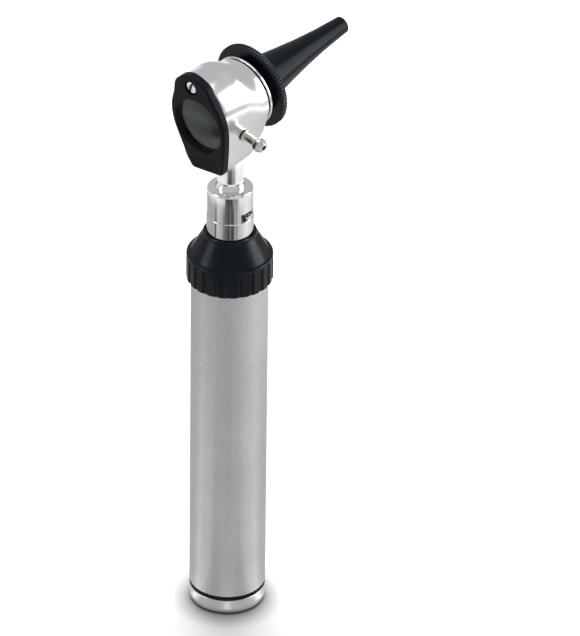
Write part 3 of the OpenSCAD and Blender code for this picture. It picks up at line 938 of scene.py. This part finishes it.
settle(
    lathe(
        "lens_ground",
        dome(10.2, PLATE_IN - 1.58, -0.7)
        + [(11.2, PLATE_IN - 1.58), (11.25, PLATE_IN - 1.5), (11.25, PLATE_IN - 0.8), (11.2, PLATE_IN - 0.74)]
        + dome(10.2, PLATE_IN - 0.74, 0.5)[::-1],
        SWUNG_SIGHT,
    ),
    "lens", LENS,
)

SLOT = PIVOT @ Matrix.Rotation(math.radians(SLOT_TURN), 4, "Z")
BACK_TO_SLOT = SLOT.inverted()


def in_slot(point):
    """Walls and floor of the screw's slot, which take the dark chrome of painted shade."""
    q = BACK_TO_SLOT @ point
    return abs(q.y) < SLOT_HALF + 0.01 and PLATE_OUT + 0.44 < q.z < PLATE_OUT + 0.95 and abs(q.x) < SCREW_R - 0.01


settle(
    carve(
        lathe(
            "pivot_screw_slotted",
            rounded([
                (0, PLATE_OUT + 0.3, 0), (1.5, PLATE_OUT + 0.31, 1.0), (SCREW_R, PLATE_OUT + 0.45, 0.2),
                (SCREW_R, PLATE_OUT + 1.4, 0.1), (SHANK_R, PLATE_OUT + 1.4, 0), (SHANK_R, SCREW_TIP, 0.2),
                (0, SCREW_TIP, 0),
            ]),
            PIVOT, even(64),
        ),
        [block(-3, 3, -SLOT_HALF, SLOT_HALF, PLATE_OUT - 0.5, PLATE_OUT + 0.9, SLOT)],
        edge=0.05,
    ),
    "pivot_screw", CHROME, (PAINTED_SHADE_CHROME, in_slot),
)


# ---------- air nipple ----------

settle(
    lathe(
        "air_nipple_turned",
        rounded([
            (1, -4.4, 0), (1.7, -4.4, 0.1), (1.7, 0.9, 0), (2.4, 0.9, 0.12), (2.4, 1.5, 0.2), (1.7, 1.5, 0.15),
            (1.7, 6.0, 0.5), (2.7, 6.8, 0.25), (2.7, 8.4, 0.5), (1.75, 10.2, 0.3), (1, 10.2, 0.15),
        ]),
        NIPPLE, even(72),
    ),
    "air_nipple", NICKEL,
)


# ---------- stage ----------

FLOOR = finish("floor_paper_painted_shadow", (0.86, 0.86, 0.86), (0.88, 0.88, 0.88), 0.0, (0.8, 0.9), 3, 200, 0.02)
FLOOR_TREE = FLOOR.node_tree
FLOOR_SHADER = FLOOR_TREE.nodes["Principled BSDF"]
FLOOR_SHADER.inputs["Specular IOR Level"].default_value = 0.0
# painted contact shadow: the paper's colour darkens within a few millimetres of what stands on it
painted_shadow_nearness = add(FLOOR_TREE, "ShaderNodeAmbientOcclusion")
painted_shadow_nearness.samples = 16
painted_shadow_nearness.inputs["Distance"].default_value = 0.010
contact = math_node(FLOOR_TREE, "POWER", painted_shadow_nearness.outputs["AO"], 1.5)
paper = FLOOR_SHADER.inputs["Base Color"].links[0].from_socket
paper_with_painted_shadow = mix(FLOOR_TREE, contact, (0.06, 0.057, 0.054), paper)
FLOOR_TREE.links.new(paper_with_painted_shadow, FLOOR_SHADER.inputs["Base Color"])
floor_mesh = bpy.data.meshes.new("floor")
floor_mesh.from_pydata([(-6, -6, 0), (6, -6, 0), (6, 6, 0), (-6, 6, 0)], [], [[0, 1, 2, 3]])
floor_mesh.materials.append(FLOOR)
add_object("floor", floor_mesh)

AZIMUTH = math.radians(43.0)
ELEVATION = math.radians(32.911)
ROLL, YAW, PITCH = (math.radians(a) for a in (0.461, 0.4805, 0.0989))
DISTANCE = 2.66043
FOCAL = 409.69
SENSOR = 36
AIM = Vector((0, 0, 0.118))
CARD_Z = 0.002


def around(turn, reach, height):
    """A point at a turn to the right of the camera's heading, in degrees, seen from the handle."""
    a = AZIMUTH - math.pi / 2 + math.radians(turn)
    return (reach * math.cos(a), reach * math.sin(a), height)


def ring_card(name, inner, outer, stops):
    """A flat ring round the foot of the handle that only reflections see.

    stops are (turn, brightness), the turn in degrees to the right of the camera's heading.
    """
    n = 72
    verts = [(r * math.cos(a), r * math.sin(a), 0) for r in (inner, outer) for a in even(n)]
    faces = [[k, (k + 1) % n, n + (k + 1) % n, n + k] for k in range(n)]
    mesh = bpy.data.meshes.new(name)
    mesh.from_pydata(verts, [], faces)
    made = bpy.data.materials.new(name)
    made.use_nodes = True
    tree = made.node_tree
    tree.nodes.clear()
    where = add(tree, "ShaderNodeTexCoord").outputs["Object"]
    radial = add(tree, "ShaderNodeTexGradient", {"Vector": where}, gradient_type="RADIAL")
    ramp = add(tree, "ShaderNodeValToRGB", {"Fac": radial.outputs["Fac"]})
    marks = ramp.color_ramp.elements
    for mark, value in ((marks[0], stops[0][1]), (marks[1], stops[-1][1])):
        mark.color = (value, value, value, 1)
    for turn, value in stops[1:-1]:
        marks.new((turn + 180) / 360).color = (value, value, value, 1)
    glow = add(tree, "ShaderNodeEmission", {"Color": ramp.outputs["Color"], "Strength": 1.0})
    add(tree, "ShaderNodeOutputMaterial", {"Surface": glow.outputs[0]})
    mesh.materials.append(made)
    obj = add_object(name, mesh)
    obj.location = (0, 0, CARD_Z)
    obj.rotation_euler = (0, 0, AZIMUTH - math.pi / 2)
    obj.visible_camera = False
    obj.visible_diffuse = False
    obj.visible_shadow = False
    obj.visible_transmission = False


ring_card("card_tube", 0.0148, 0.232, [
    (-180, 0.62), (-110, 0.66), (-84, 0.75), (-68, 1.5), (-54, 0.62), (-20, 0.5), (-8, 0.62), (0, 1.05),
    (9, 0.62), (30, 0.52), (52, 0.7), (64, 1.6), (80, 0.8), (110, 0.66), (180, 0.62),
])
ring_card("card_collar", 0.232, 0.2895, [
    (-180, 0.5), (-100, 0.42), (-80, 0.4), (-76, 0.1), (-72, 0.1), (-67, 0.62), (-40, 0.46), (-31, 0.2),
    (-12, 0.1), (-2, 0.05), (1, 0.3), (5, 0.08), (16, 0.06), (22, 0.36), (28, 0.46), (31, 0.12), (35, 0.5),
    (46, 0.6), (87, 0.98), (143, 0.65), (180, 0.5),
])
ring_card("card_stem", 0.2895, 0.312, [
    (-180, 1.0), (-60, 1.0), (-28, 0.8), (-22, 0.1), (8, 0.05), (16, 0.3), (34, 0.3), (48, 0.95), (180, 1.0),
])
ring_card("card_side", 0.312, 0.42, [
    (-180, 0.8), (-92, 0.7), (-40, 0.85), (40, 1.0), (66, 1.5), (94, 1.7), (124, 1.5), (150, 1.0), (180, 0.8),
])
ring_card("card_far", 0.42, 1.3, [
    (-180, 0.9), (-158, 0.85), (-148, 0.12), (-132, 0.2), (-124, 0.8), (-100, 0.9), (-62, 0.6), (-48, 0.1),
    (-30, 0.14), (-20, 0.8), (24, 0.95), (44, 0.8), (56, 0.1), (70, 0.16), (80, 0.7), (110, 0.95), (128, 0.6),
    (140, 0.1), (154, 0.2), (164, 0.85), (180, 0.9),
])


def area(name, size, centre, target, watts):
    """A soft rectangular lamp that the camera does not see, turned to its target."""
    data = bpy.data.lights.new(name, "AREA")
    data.shape = "RECTANGLE"
    data.size, data.size_y = size
    data.energy = watts
    obj = add_object(name, data)
    obj.location = centre
    obj.rotation_mode = "QUATERNION"
    obj.rotation_quaternion = (Vector(centre) - Vector(target)).to_track_quat("Z", "Y")
    obj.visible_camera = False
    return obj


area("top_soft", (1.2, 1.2), (0, 0.1, 2.1), (0, 0, 0.1), 11)
behind = area("back_soft", (0.7, 0.5), around(180, 0.45, 1.1), (0, 0, 0.02), 12)
behind.visible_glossy = False
for strip in (
    area("strip_left", (0.35, 0.9), around(-75, 1.0, 0.55), (0, 0, 0.16), 3.0),
    area("strip_right", (0.5, 0.9), around(92, 0.9, 0.42), (0, 0, 0.16), 7.0),
):
    strip.visible_diffuse = False

world = bpy.data.worlds.new("studio")
bpy.context.scene.world = world
world.use_nodes = True
background = world.node_tree.nodes["Background"]
background.inputs["Color"].default_value = (0.97, 0.985, 1.0, 1)
background.inputs["Strength"].default_value = 0.55

lens_data = bpy.data.cameras.new("camera")
lens_data.lens = FOCAL
lens_data.sensor_width = SENSOR
lens_data.clip_start, lens_data.clip_end = 0.05, 50
camera = add_object("camera", lens_data)
bpy.context.scene.camera = camera


def turned(a, b, angle):
    """Two axes at right angles, both turned from a towards b."""
    return a * math.cos(angle) + b * math.sin(angle), b * math.cos(angle) - a * math.sin(angle)


level_reach = math.cos(ELEVATION)
back = Vector((math.sin(AZIMUTH) * level_reach, -math.cos(AZIMUTH) * level_reach, math.sin(ELEVATION)))
right = Vector((math.cos(AZIMUTH), math.sin(AZIMUTH), 0))
up = back.cross(right)
ahead, right = turned(-back, right, YAW)
ahead, up = turned(ahead, up, PITCH)
right, up = turned(right, up, ROLL)
placed = Matrix((right, up, -ahead)).transposed().to_4x4()
placed.translation = AIM + back * DISTANCE
camera.matrix_world = placed

view = bpy.context.scene.view_settings
view.view_transform = "Standard"
view.look = "None"
view.exposure = 0.0
